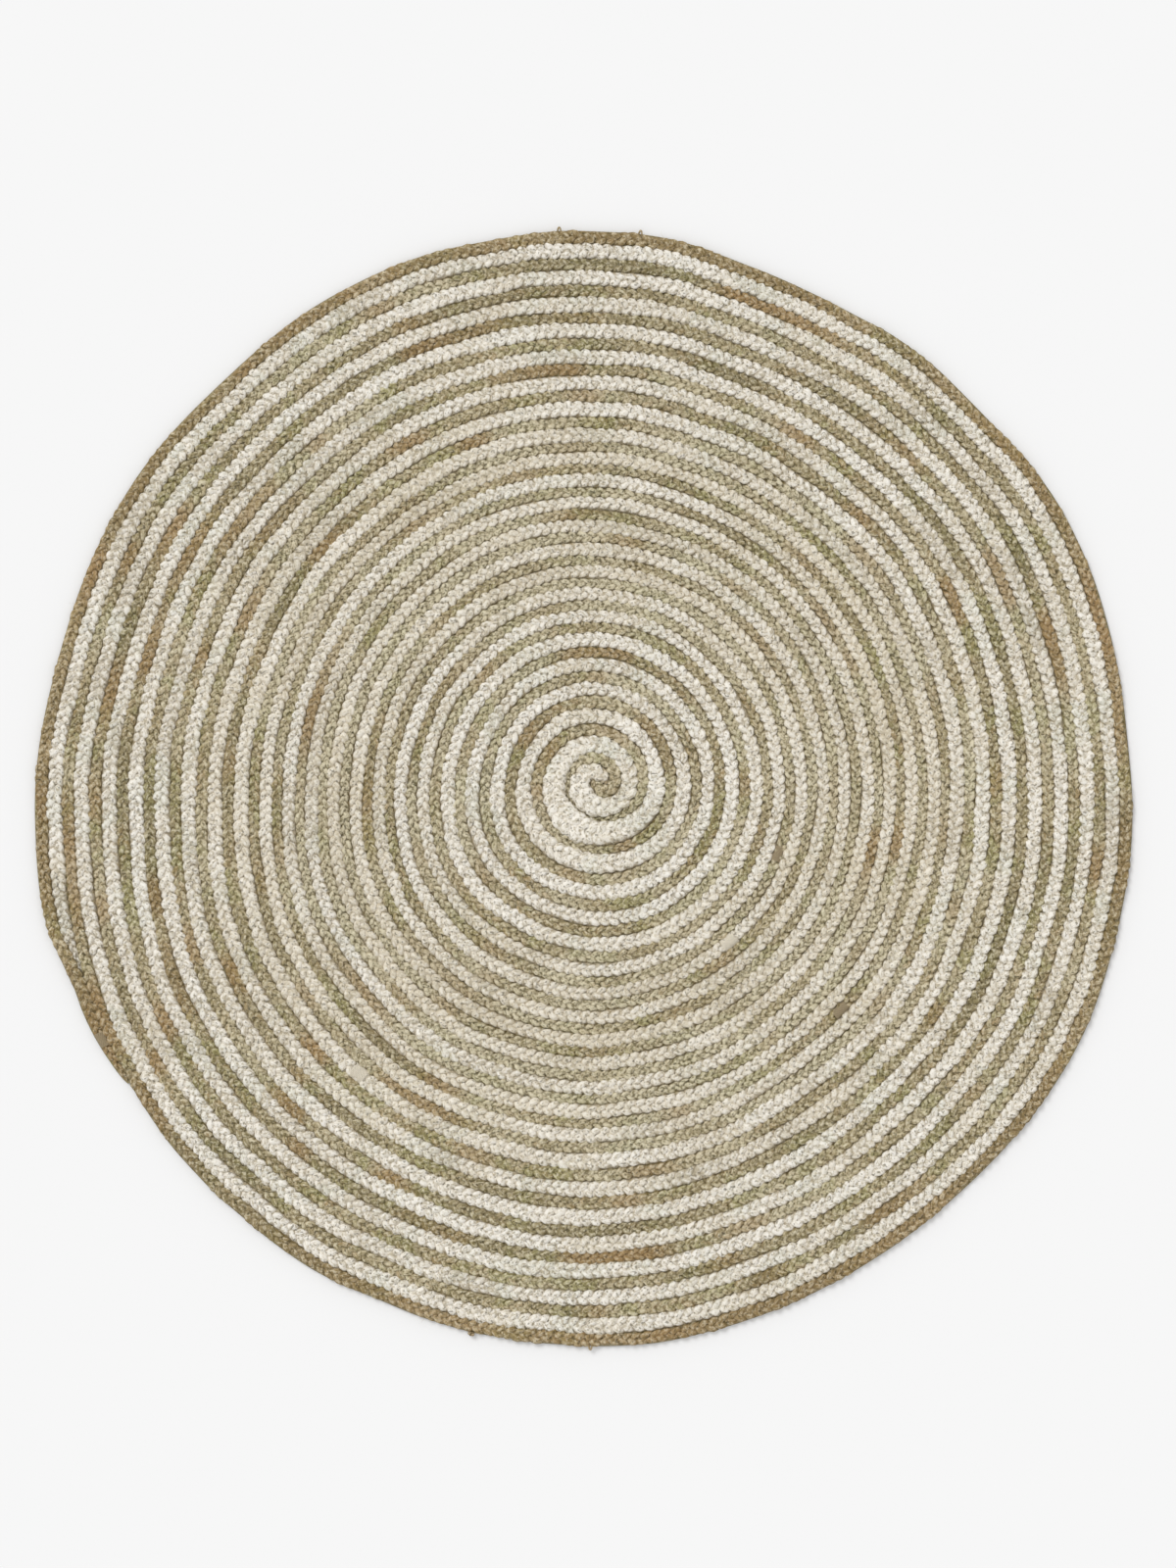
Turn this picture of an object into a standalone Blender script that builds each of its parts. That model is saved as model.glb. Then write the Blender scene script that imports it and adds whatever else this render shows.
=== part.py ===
"""Round braided rug, about one metre across.

A white plait and a natural jute plait lie side by side and are coiled together from the centre
outwards, counter-clockwise seen from above. Each colour is three lengths joined end to end, each
join is whipped with thread, and a seam thread on the underside sews every turn to the one inside
it. The plaits are plain flat-bottomed solids of the right size and place.

Lengths are in metres. A place along the coil is a number of turns from its start, where the +X
side of the coil is a whole number. A pair is one white and one jute plait side by side.
"""

import math

import bmesh
import bpy
from mathutils import Vector

# The coil: width of a pair, gaps included, and the turn from which each width holds.
CORE_PAIR = 0.0255
INNER_PAIR = 0.0223
MIDDLE_PAIR = 0.0207
OUTER_PAIR = 0.0243
INNER_FROM = 3.0
MIDDLE_FROM = 6.5
OUTER_FROM = 14.5
OUTER_TURN = 21.56

# How far the hand-coiled rim strays from a true spiral: sideways, oval and three-cornered.
DRIFT_X = -0.008
DRIFT_Y = -0.014
OVAL = -0.006
OVAL_SKEW = 0.002
THREE_CORNER = 0.0025

# Plait sections.
WHITE_SHARE = 0.557
WHITE_HEIGHT = 0.0090
JUTE_HEIGHT = 0.0080
FOOT_SHARE = 0.17
SIDE_SHARE = 0.40
SEAM_GAP = 0.0003

# The start and the tail of the coil.
EYE_RADIUS = 0.0030
WHITE_START_RADIUS = 0.0022
START_FILL = 0.65
WHITE_TAPER = 0.040
WHITE_TIP_FILL = 0.35
JUTE_TAIL = 0.031
JUTE_CLOSING = 0.006
JUTE_TAPER = 0.024
JUTE_TIP_FILL = 0.35
TAIL_THINNING = 0.5

# Joins between lengths, and the thread whipped round them.
WHITE_JOINS = (7.86, 14.64)
JUTE_JOINS = (6.94, 12.88)
BINDING_LENGTH = 0.014
BINDING_WALL = 0.0008
BINDING_CLEARANCE = 0.00045
TAIL_BINDING_BACK = 0.046

# Seam thread in the underside groove, centre tack and rim knot.
SEAM_START = 1.10
SEAM_JOINS = (7.30, 14.10)
THREAD_WIDTH = 0.0014
THREAD_HEIGHT = 0.0014
THREAD_LIFT = 0.0004
TACK_GAP = 0.0004
TACK_SIDES = 12
KNOT_BACK = 0.846
KNOT_RADIUS = 0.0034
KNOT_LIFT = 0.0005

# Facets: cross-sections in a turn, doubled where the coil is wide.
COARSE_STATIONS = 16
FINE_STATIONS = 32
FINE_FROM = 5.0
CORE_ARC_STEPS = 7

LENGTH_NAMES = ("inner", "middle", "outer")
WHITE = "white"
JUTE = "jute"
JUTE_END = OUTER_TURN + JUTE_TAIL
KNOT_TURN = OUTER_TURN - KNOT_BACK


def plain_width(turn):
    """Width of all the pairs wound before this turn, along one ray."""
    zones = (
        (0.0, INNER_FROM, CORE_PAIR),
        (INNER_FROM, MIDDLE_FROM, INNER_PAIR),
        (MIDDLE_FROM, OUTER_FROM, MIDDLE_PAIR),
        (OUTER_FROM, math.inf, OUTER_PAIR),
    )
    return sum(width * max(0.0, min(turn, end) - start) for start, end, width in zones)


def drift(turn):
    """How far the coil stands out of a true spiral, which grows from nothing at the centre."""
    angle = math.tau * turn
    sideways = DRIFT_X * math.cos(angle) + DRIFT_Y * math.sin(angle)
    oval = OVAL * math.cos(2 * angle) + OVAL_SKEW * math.sin(2 * angle)
    corners = THREE_CORNER * (math.cos(3 * angle) - math.sin(3 * angle))
    return (sideways + oval + corners) * turn / OUTER_TURN


def core_jute_width():
    return (1 - WHITE_SHARE) * (CORE_PAIR + drift(1.0) - 2 * SEAM_GAP)


def edge(turn):
    """Radius of a pair's inner edge. The first one lets the jute turn once round its own eye."""
    first_outer = 2 * EYE_RADIUS + 1.5 * core_jute_width() + SEAM_GAP
    core_edge = first_outer - CORE_PAIR - drift(1.0)
    return core_edge + plain_width(turn) + drift(turn)


def on_ray(turn, radius):
    angle = math.tau * turn
    return Vector((radius * math.cos(angle), radius * math.sin(angle), 0.0))


def station_count(turn):
    return COARSE_STATIONS if turn < FINE_FROM else FINE_STATIONS


def on_chord(turn, count, turns_out):
    """A point of an edge that runs straight from station to station."""
    whole = math.floor(turn * count + 1e-9)
    share = turn * count - whole
    before = whole / count
    after = (whole + 1) / count
    start = on_ray(before, edge(before + turns_out))
    return start.lerp(on_ray(after, edge(after + turns_out)), share)


def rails(turn):
    """Points on a pair's inner and outer edge. The inner one has the facets of the turn inside."""
    inner = on_chord(turn, station_count(turn - 1), 0)
    outer = on_chord(turn, station_count(turn), 1)
    return inner, outer


def marks(start, end, extra=()):
    """Both ends, every station between them, and the extra places between them, in order."""
    found = {start, end}
    for step in range(math.ceil(start * FINE_STATIONS), math.floor(end * FINE_STATIONS) + 1):
        turn = step / FINE_STATIONS
        is_station = turn >= FINE_FROM or step * COARSE_STATIONS % FINE_STATIONS == 0
        if is_station and start < turn < end:
            found.add(turn)
    found.update(turn for turn in extra if start < turn < end)
    return sorted(found)


def ramp(turn, start, end, low):
    """1 up to start, then falling evenly to low at end."""
    share = min(1.0, max(0.0, (turn - start) / (end - start)))
    return 1.0 + (low - 1.0) * share


def white_start():
    """The first station where the coil leaves the white plait room to begin."""
    turn = 0.0
    while edge(turn) < WHITE_START_RADIUS:
        turn += 1 / COARSE_STATIONS
    return turn


def white_fill(turn):
    """Share of its full width that the white plait has at this turn."""
    if turn <= white_start():
        return START_FILL
    return ramp(turn, OUTER_TURN - WHITE_TAPER, OUTER_TURN, WHITE_TIP_FILL)


def jute_fill(turn):
    return ramp(turn, JUTE_END - JUTE_TAPER, JUTE_END, JUTE_TIP_FILL)


def strip(kind, turn):
    """(start point, direction across, offset, width, fill) of one plait at this turn."""
    inner, outer = rails(turn)
    across = (outer - inner).normalized()
    room = (outer - inner).length - 2 * SEAM_GAP
    white_full = WHITE_SHARE * room
    white_width = white_full * white_fill(turn)
    if kind == WHITE:
        # The tip at the start is cut away on its inner side, the tail on its outer side.
        offset = white_full - white_width if turn < 1 else 0.0
        return inner, across, offset, white_width, white_fill(turn)
    beside = white_full if turn < 1 else white_width
    covered = ramp(turn, OUTER_TURN, OUTER_TURN + JUTE_CLOSING, 0.0)
    offset = (beside + SEAM_GAP) * covered
    width = (1 - WHITE_SHARE) * room * jute_fill(turn)
    return inner, across, offset, width, jute_fill(turn)


def profile(start, across, offset, width, height, inset):
    """Five corners: two feet, the outer side, the crown and the inner side."""
    foot = FOOT_SHARE * width
    side = SIDE_SHARE * height
    corners = (
        (foot + inset, inset),
        (width - foot - inset, inset),
        (width - inset, side),
        (width / 2, height - inset),
        (inset, side),
    )
    return [start + across * (offset + x) + Vector((0, 0, z)) for x, z in corners]


def section(kind, turn, inset=0.0):
    start, across, offset, width, fill = strip(kind, turn)
    full_height = WHITE_HEIGHT if kind == WHITE else JUTE_HEIGHT
    height = full_height * (1 - TAIL_THINNING * (1 - fill))
    return profile(start, across, offset, width, height, inset)


def core_sections():
    """The jute's first half turn, a tight bend round the eye that ends at turn 0."""
    width = core_jute_width()
    centre = core_centre()
    sections = []
    for step in range(CORE_ARC_STEPS + 1):
        angle = math.pi * (1 + step / CORE_ARC_STEPS)
        across = Vector((math.cos(angle), math.sin(angle), 0.0))
        sections.append(profile(centre, across, EYE_RADIUS, width, JUTE_HEIGHT, 0.0))
    return sections


def core_centre():
    """Centre of the eye. The bend stands out of the spiral it runs into, so it is drawn in."""
    bend_radius = EYE_RADIUS + core_jute_width() / 2
    stands_out = (CORE_PAIR / math.tau) ** 2 / (2 * bend_radius)
    return Vector((bend_radius - stands_out, 0.0, 0.0))


def turns_long(length, turn):
    """A length along the coil as a share of a turn."""
    return length / (math.tau * edge(turn + 0.5))


def add_faces(mesh, rings, closed=False):
    """Skins a row of equal rings of corners, with a cap on each end unless the row closes."""
    loops = [[mesh.verts.new(corner) for corner in ring] for ring in rings]
    following = loops[1:] + loops[:1] if closed else loops[1:]
    for here, there in zip(loops, following):
        for index in range(len(here)):
            other = (index + 1) % len(here)
            mesh.faces.new((here[index], here[other], there[other], there[index]))
    if not closed:
        mesh.faces.new(loops[0])
        mesh.faces.new(loops[-1])


def add_object(name, rings, material, frame, closed=False):
    mesh = bmesh.new()
    add_faces(mesh, rings, closed)
    bmesh.ops.recalc_face_normals(mesh, faces=mesh.faces)
    data = bpy.data.meshes.new(name)
    mesh.to_mesh(data)
    mesh.free()
    data.materials.append(material)
    piece = bpy.data.objects.new(name, data)
    bpy.context.scene.collection.objects.link(piece)
    piece.parent = frame
    return piece


def length_sections(kind, start, end, start_joined, end_joined, bindings=()):
    """Cross-sections of one length, necked inside each join and inside each binding on it."""
    neck = BINDING_WALL + BINDING_CLEARANCE
    taper_marks = (
        white_start() + 1 / COARSE_STATIONS,
        OUTER_TURN - WHITE_TAPER,
        OUTER_TURN,
        OUTER_TURN + JUTE_CLOSING,
        JUTE_END - JUTE_TAPER,
    )
    necked = [(turn - half_binding(turn), turn + half_binding(turn)) for turn in bindings]
    if start_joined:
        necked.append((start, start + half_binding(start)))
        start += turns_long(SEAM_GAP / 2, start)
    if end_joined:
        necked.append((end - half_binding(end), end))
        end -= turns_long(SEAM_GAP / 2, end)
    shoulders = [turn for pair in necked for turn in pair]
    sections = []
    for turn in marks(start, end, (*taper_marks, *shoulders)):
        inside = any(low < turn < high for low, high in necked)
        after = any(low == turn for low, high in necked)
        before = any(high == turn for low, high in necked)
        if before:
            sections.append(section(kind, turn, neck))
        sections.append(section(kind, turn, neck if inside else 0.0))
        if after:
            sections.append(section(kind, turn, neck))
    return sections


def half_binding(turn):
    """From the middle of a binding to the shoulder of the neck that it sits in, in turns."""
    return turns_long(BINDING_LENGTH / 2 + SEAM_GAP, turn)


def add_lengths(kind, start, end, joins, material, frame, bindings=()):
    """The three lengths of one colour, end to end."""
    ends = (start, *joins, end)
    for index, name in enumerate(LENGTH_NAMES):
        rings = length_sections(
            kind,
            ends[index],
            ends[index + 1],
            start_joined=index > 0,
            end_joined=index < len(joins),
            bindings=[turn for turn in bindings if ends[index] < turn < ends[index + 1]],
        )
        if kind == JUTE and index == 0:
            rings = core_sections() + rings[1:]
        add_object(f"{kind}_braid_{name}", rings, material, frame)


def add_binding(name, kind, turn, material, frame):
    """A sleeve of whipped thread: the plait's own outline outside, hollow round the neck."""
    half = turns_long(BINDING_LENGTH / 2, turn)
    places = marks(turn - half, turn + half)
    outside = [section(kind, place) for place in places]
    inside = [section(kind, place, BINDING_WALL) for place in reversed(places)]
    add_object(name, outside + inside, material, frame, closed=True)


def seam_section(turn):
    """A three-cornered thread in the groove between two turns, clear of the floor."""
    inner, outer = rails(turn)
    across = (outer - inner).normalized()
    middle = inner - across * SEAM_GAP / 2
    corners = (
        (-THREAD_WIDTH / 2, THREAD_LIFT),
        (THREAD_WIDTH / 2, THREAD_LIFT),
        (0.0, THREAD_LIFT + THREAD_HEIGHT),
    )
    return [middle + across * x + Vector((0, 0, z)) for x, z in corners]


def add_seam_threads(material, frame):
    ends = (SEAM_START, *SEAM_JOINS, OUTER_TURN)
    for index, name in enumerate(LENGTH_NAMES):
        end = ends[index + 1] - turns_long(SEAM_GAP, ends[index + 1])
        rings = [seam_section(turn) for turn in marks(ends[index], end)]
        add_object(f"seam_thread_{name}", rings, material, frame)


def add_centre_tack(material, frame):
    """Thread wound through the eye of the coil, which holds the two starts."""
    radius = EYE_RADIUS * math.cos(math.pi / CORE_ARC_STEPS / 2) - TACK_GAP
    heights = (SEAM_GAP, JUTE_HEIGHT - SEAM_GAP)
    rings = []
    for height in heights:
        ring = []
        for side in range(TACK_SIDES):
            angle = math.tau * side / TACK_SIDES
            spoke = Vector((math.cos(angle), math.sin(angle), 0.0)) * radius
            ring.append(core_centre() + spoke + Vector((0, 0, height)))
        rings.append(ring)
    add_object("centre_tack", rings, material, frame)


def add_rim_knot(material, frame):
    """A knotted yarn end that stands out of the rim."""
    start, across, offset, width, _ = strip(JUTE, KNOT_TURN)
    distance = offset + width + SEAM_GAP + KNOT_RADIUS
    mesh = bmesh.new()
    bmesh.ops.create_icosphere(mesh, subdivisions=2, radius=KNOT_RADIUS)
    data = bpy.data.meshes.new("rim_knot")
    mesh.to_mesh(data)
    mesh.free()
    data.materials.append(material)
    data.shade_smooth()
    knot = bpy.data.objects.new("rim_knot", data)
    bpy.context.scene.collection.objects.link(knot)
    knot.location = start + across * distance + Vector((0, 0, KNOT_RADIUS + KNOT_LIFT))
    knot.parent = frame


def make_material(name, colour, roughness):
    material = bpy.data.materials.new(name)
    material.use_nodes = True
    shader = material.node_tree.nodes["Principled BSDF"]
    shader.inputs["Base Color"].default_value = (*colour, 1.0)
    shader.inputs["Roughness"].default_value = roughness
    shader.inputs["Metallic"].default_value = 0.0
    return material


def add_frame():
    """An empty at the coil's centre, set so that the middle of the whole rug is at the origin."""
    rim = [strip(JUTE, turn) for turn in marks(OUTER_TURN - 1, JUTE_END)]
    points = [start + across * (offset + width) for start, across, offset, width, _ in rim]
    middle_x = (max(p.x for p in points) + min(p.x for p in points)) / 2
    middle_y = (max(p.y for p in points) + min(p.y for p in points)) / 2
    frame = bpy.data.objects.new("rug_frame", None)
    frame.location = (-middle_x, -middle_y, 0.0)
    bpy.context.scene.collection.objects.link(frame)
    return frame


def main():
    for old in list(bpy.data.objects):
        bpy.data.objects.remove(old, do_unlink=True)
    white = make_material("white_braid", (0.69, 0.63, 0.53), 0.85)
    jute = make_material("jute_braid", (0.34, 0.29, 0.18), 0.9)
    thread = make_material("sewing_thread", (0.52, 0.45, 0.33), 0.8)
    frame = add_frame()

    tail_binding = JUTE_END - turns_long(TAIL_BINDING_BACK, JUTE_END)
    add_lengths(WHITE, white_start(), OUTER_TURN, WHITE_JOINS, white, frame)
    add_lengths(JUTE, 0.0, JUTE_END, JUTE_JOINS, jute, frame, bindings=(tail_binding,))
    for kind, joins in ((WHITE, WHITE_JOINS), (JUTE, JUTE_JOINS)):
        for number, turn in enumerate(joins, start=1):
            add_binding(f"{kind}_join_binding_{number}", kind, turn, thread, frame)
    add_binding("tail_binding", JUTE, tail_binding, thread, frame)
    add_seam_threads(thread, frame)
    add_centre_tack(thread, frame)
    add_rim_knot(jute, frame)


main()
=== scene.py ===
"""Round braided rug: the plaits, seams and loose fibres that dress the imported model, and a stage.

A white plait and a natural jute plait lie side by side and are coiled together from the centre
outwards, counter-clockwise seen from above. Each plait is three strands of flattened fibre that
cross over each other. Every colour is three lengths, joined end to end under whipped thread, and a
seam thread on the underside sews each turn to the one inside it.

Lengths are in metres. A place along the coil is a number of turns from its start, where the +X
side of the coil is a whole number. A pair is one white and one jute plait side by side.
"""

import math

import bpy
import numpy as np
from bpy.props import FloatProperty, FloatVectorProperty, IntProperty, PointerProperty
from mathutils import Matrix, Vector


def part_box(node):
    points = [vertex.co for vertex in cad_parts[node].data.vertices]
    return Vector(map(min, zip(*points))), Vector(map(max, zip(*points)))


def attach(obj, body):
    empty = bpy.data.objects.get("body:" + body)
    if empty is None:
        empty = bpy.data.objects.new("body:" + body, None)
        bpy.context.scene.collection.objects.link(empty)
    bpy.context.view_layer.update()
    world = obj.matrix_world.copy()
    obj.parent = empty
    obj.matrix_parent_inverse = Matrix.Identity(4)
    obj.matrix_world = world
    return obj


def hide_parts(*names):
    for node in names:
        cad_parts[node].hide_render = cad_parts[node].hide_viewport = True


bl_info = {
    "name": "Round Braided Rug",
    "version": (1, 0, 0),
    "blender": (4, 5, 0),
    "location": "3D Viewport > Sidebar > Rug",
    "description": "Plaits, seams, fibres and stage of a rug coiled from white and jute plaits",
    "category": "Object",
}

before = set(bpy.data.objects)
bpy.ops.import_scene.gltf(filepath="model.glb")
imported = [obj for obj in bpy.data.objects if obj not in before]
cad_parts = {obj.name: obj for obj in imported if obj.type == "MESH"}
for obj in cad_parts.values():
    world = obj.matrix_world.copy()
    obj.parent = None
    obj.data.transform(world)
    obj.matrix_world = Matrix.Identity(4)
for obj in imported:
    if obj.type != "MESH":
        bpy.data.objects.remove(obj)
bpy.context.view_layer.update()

# The coil: width of a pair, gaps included, and the turn from which each width holds.
CORE_PAIR = 0.0255
INNER_PAIR = 0.0223
MIDDLE_PAIR = 0.0207
OUTER_PAIR = 0.0243
INNER_FROM = 3.0
MIDDLE_FROM = 6.5
OUTER_FROM = 14.5
OUTER_TURN = 21.56
DRIFT_X = -0.008
DRIFT_Y = -0.014
OVAL = -0.006
OVAL_SKEW = 0.002
THREE_CORNER = 0.0025

# Plait sections, and how the starts and the tail are drawn in.
WHITE_SHARE = 0.557
WHITE_HEIGHT = 0.0090
JUTE_HEIGHT = 0.0080
SEAM_GAP = 0.0003
EYE_RADIUS = 0.0030
WHITE_TUCK = -0.03
HEART_RADIUS = 0.0005
WHITE_TAPER = 0.040
WHITE_TIP_FILL = 0.62
WHITE_LAST_FILL = 0.16
JUTE_START_TUCK = 0.006
JUTE_TAIL = 0.031
JUTE_CLOSING = 0.017
JUTE_TAPER = 0.026
JUTE_TIP_FILL = 0.12
TAIL_THINNING = 0.5
JUTE_END = OUTER_TURN + JUTE_TAIL

# Joins, bindings, seam, knot.
WHITE = "white"
JUTE = "jute"
LENGTH_NAMES = ("inner", "middle", "outer")
WHITE_JOINS = (7.86, 14.64)
JUTE_JOINS = (6.94, 12.88)
BINDING_LENGTH = 0.014
TAIL_BINDING_BACK = 0.046
KNOT_TURN = OUTER_TURN - 0.846
TUFT_TURNS = (OUTER_TURN - 0.299, OUTER_TURN - 0.322, OUTER_TURN - 0.812)
TUFT_REACH = 0.0040
SEAM_START = 1.10
SEAM_JOINS = (7.30, 14.10)

# Hand unevenness of the coil: waves round the rim, and slow sideways wander everywhere.
RIM_WAVES = (
    (4, -0.0001, 0.0013), (5, -0.0009, -0.0006), (6, -0.0023, -0.0006), (12, 0.0009, -0.0006),
)
RIM_RADIUS = 0.5
RIM_DRAWN_IN = 0.0046
RIM_DENTS = (
    (0.570, 0.032, 0.0032), (0.067, 0.020, -0.0020), (0.170, 0.020, 0.0022), (0.270, 0.020, 0.0022),
    (0.535, 0.015, -0.0022), (0.737, 0.018, 0.0028), (0.900, 0.020, 0.0018),
)
WANDER_WAVES = 14
WANDER_SHORTEST = 0.05
WANDER_LONGEST = 0.20
WANDER_SLOPE = 0.0135
WANDER_SEED = 5

FINE_TURNS = 60000
FINE_STEP = 0.0006
PATH_SOFTENING = 0.0030

# How the jute plait is squeezed by the white one near the middle: (turn, share lost, reach).
SQUEEZES = ((0.66, 0.86, 0.24), (1.73, 0.42, 0.17))

# Strands: how long one stays at the plait's side, and how plaits press on each other and end.
STRAND_THICKNESS = 0.235
STRAND_SIDES = 8
SIDE_STAY = 1.3
PRESSED = 0.0009
PRESSED_FROM = 0.0045
STRAY = 0.0009
END_ROUND = 0.007
JOIN_NECK = 0.08
WIDTH_UNEVEN = 0.11
SLOW_UNEVEN = 0.05

# Waves to the metre that move a strand along its plait, alone, and up and down.
SLOW_WAVES = 14.0
QUICK_WAVES = 75.0
LIFT_WAVES = 60.0
LUMP_WAVES = 420.0

# Fibres packed inside a plait, and the lowest that each kind of piece comes to the floor.
PACKING_STEP = 0.0065
PACKING_OVERLAP = 0.0012
PACKING_FLATNESS = 0.27
PACKING_LIFT = 0.34
# Depth given to the packing, which the fibre material turns into painted shade over it.
PACKING_SHADE_DEPTH = 0.55
STRAND_LOWEST = 0.0002
PACKING_LOWEST = 0.0006
FIBRE_LOWEST = 0.0003
FIBRE_RADIUS = 0.000075
FIBRE_UPWARD = 0.3

# Thread: the seam's step, stitch, throw and climb, the tack's turns, loose yarn's own values.
SEAM_STEP = 0.0031
SEAM_STITCH = 0.0124
SEAM_THROW = 0.0026
SEAM_LOW = 0.0008
SEAM_CLIMB = 0.0016
TACK_TURNS = 9
TACK_MARGIN = 0.0007
KNOT_YARN_SHARE = 0.33
TUFT_YARN_RADIUS = 0.0008
TUFT_HALF_WIDTH = 0.0016
TUFT_HEIGHT = 0.0045
TUFT_RISE = 0.0015
YARN_LOWEST = 0.0013
LOOSE_YARN = (("tone", 0.0), ("warm", 0.5), ("depth", 0.2), ("strand", 3.0))

# Finishes.
# Tint of the painted shade low on the strands and packing, laid over the dark fibre colour.
PAINTED_SHADE_TINT = (1.0, 0.83, 0.40)
PALE_THREAD = (0.83, 0.77, 0.64)
THREAD_TWIST = 0.0022
SHEEN = 0.08

# Where the coil's colours change, in turns.
CREAM_MIDDLE = 10.8
CREAM_REACH = 3.6
INNER_UP_TO = 8.0
RIM_FROM = OUTER_TURN - 1

# Lens and light.
LENS = 85.0
SENSOR = 36.0
FLOOR_HALF = 15.0
SUN_SPREAD = 25
SUN_TILT = (-32, -28)


def plain_width(turn):
    """Width of all the pairs wound before this turn, along one ray."""
    zones = (
        (0.0, INNER_FROM, CORE_PAIR),
        (INNER_FROM, MIDDLE_FROM, INNER_PAIR),
        (MIDDLE_FROM, OUTER_FROM, MIDDLE_PAIR),
        (OUTER_FROM, math.inf, OUTER_PAIR),
    )
    return sum(
        width * np.maximum(0.0, np.minimum(turn, end) - start) for start, end, width in zones
    )


def drift(turn):
    """How far the coil stands out of a true spiral, which grows from nothing at the centre."""
    angle = math.tau * turn
    sideways = DRIFT_X * np.cos(angle) + DRIFT_Y * np.sin(angle)
    oval = OVAL * np.cos(2 * angle) + OVAL_SKEW * np.sin(2 * angle)
    corners = THREE_CORNER * (np.cos(3 * angle) - np.sin(3 * angle))
    return (sideways + oval + corners) * turn / OUTER_TURN


def core_jute_width():
    return (1 - WHITE_SHARE) * (CORE_PAIR + drift(1.0) - 2 * SEAM_GAP)


def edge(turn):
    """Radius of a pair's inner edge."""
    first_outer = 2 * EYE_RADIUS + 1.5 * core_jute_width() + SEAM_GAP
    return first_outer - CORE_PAIR - drift(1.0) + plain_width(turn) + drift(turn)


def ramp(turn, start, end, low):
    """1 up to start, then falling evenly to low at end."""
    return 1.0 + (low - 1.0) * np.clip((turn - start) / (end - start), 0.0, 1.0)


def bend_edge(turn):
    """How far out the jute's first bend reaches on this ray."""
    angle = math.tau * turn
    reach = EYE_RADIUS + core_jute_width()
    return eye_centre() * np.cos(angle) + np.sqrt(reach**2 - (eye_centre() * np.sin(angle)) ** 2)


def squeezed_out(turn):
    """Share of its width that the jute plait has lost to the white one near the middle."""
    return sum(depth * np.exp(-(((turn - place) / reach) ** 2)) for place, depth, reach in SQUEEZES)


def white_inner(turn):
    """Radius of the white plait's inner side, drawn in to fill the heart of the coil."""
    before = turn - 1
    room = edge(before + 1) - edge(before) - 2 * SEAM_GAP
    ordinary = edge(turn) - (1 - WHITE_SHARE) * room * squeezed_out(before) * (turn > 1.1)
    round_bend = bend_edge(np.clip(turn, 0.5, 1.0))
    heart = HEART_RADIUS + (round_bend - HEART_RADIUS) * np.clip(turn / 0.5, 0.0, 1.0)
    share = np.clip((turn - 1.0) / 0.15, 0.0, 1.0)
    share = share * share * (3 - 2 * share)
    return np.minimum(ordinary, heart + (ordinary - heart) * share)


def eye_centre():
    """How far the middle of the eye is from the middle of the coil, along +X."""
    bend_radius = EYE_RADIUS + core_jute_width() / 2
    return bend_radius - (CORE_PAIR / math.tau) ** 2 / (2 * bend_radius)


def coil_centre():
    """The middle of the coil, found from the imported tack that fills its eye."""
    low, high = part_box("centre_tack")
    return np.array([(low.x + high.x) / 2 - eye_centre(), (low.y + high.y) / 2])


CENTRE = coil_centre()


def lane(kind, turn):
    """(radius of the middle, width along the ray, fill) of one plait at these turns."""
    inner = edge(turn)
    room = edge(turn + 1) - inner - 2 * SEAM_GAP
    white_full = WHITE_SHARE * room
    covered = ramp(turn, OUTER_TURN - JUTE_CLOSING, OUTER_TURN, 0.0)
    taper = ramp(turn, OUTER_TURN - WHITE_TAPER, OUTER_TURN, WHITE_TIP_FILL)
    white_fill = np.maximum(taper * covered, WHITE_LAST_FILL)
    if kind == WHITE:
        outer = inner + white_full * white_fill
        inner = np.maximum(white_inner(turn), HEART_RADIUS)
        return (inner + outer) / 2, outer - inner, white_fill
    narrowing = np.sqrt(ramp(turn, JUTE_END - JUTE_TAPER, JUTE_END, 0.0))
    fill = JUTE_TIP_FILL + (1 - JUTE_TIP_FILL) * narrowing
    width = (1 - WHITE_SHARE) * room * fill * (1 - squeezed_out(turn))
    return inner + (white_full * taper + SEAM_GAP) * covered + width / 2, width, fill


def wandered(points):
    """Points of the true coil, moved to where a hand-coiled rug has them, in the model's frame."""
    x, y = points.T
    angle = np.arctan2(y, x)
    share = (np.hypot(x, y) / RIM_RADIUS) ** 2
    swell = sum(c * np.cos(n * angle) + s * np.sin(n * angle) for n, c, s in RIM_WAVES) * share
    swell = swell - RIM_DRAWN_IN * share
    for place, reach, depth in RIM_DENTS:
        away = (angle / math.tau - place + 0.5) % 1.0 - 0.5
        swell = swell - depth * np.exp(-((away / reach) ** 2)) * share**4
    moved = points + np.stack([np.cos(angle), np.sin(angle)], 1) * swell[:, None]
    random = np.random.default_rng(WANDER_SEED)
    for _ in range(WANDER_WAVES):
        length = random.uniform(WANDER_SHORTEST, WANDER_LONGEST)
        heading, push, phase = random.uniform(0, math.tau, 3)
        wave = np.sin(math.tau * (x * math.cos(heading) + y * math.sin(heading)) / length + phase)
        size = WANDER_SLOPE * length / math.tau
        moved += wave[:, None] * size * np.array([math.cos(push), math.sin(push)])
    return moved + CENTRE


def softened(values, reach):
    """Values smoothed along the path over this many steps, with the ends held."""
    kernel = np.exp(-0.5 * (np.arange(-3 * reach, 3 * reach + 1) / reach) ** 2)
    kernel /= kernel.sum()
    ends = np.repeat(values[:1], 3 * reach), np.repeat(values[-1:], 3 * reach)
    return np.convolve(np.concatenate([ends[0], values, ends[1]]), kernel, "valid")


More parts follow.
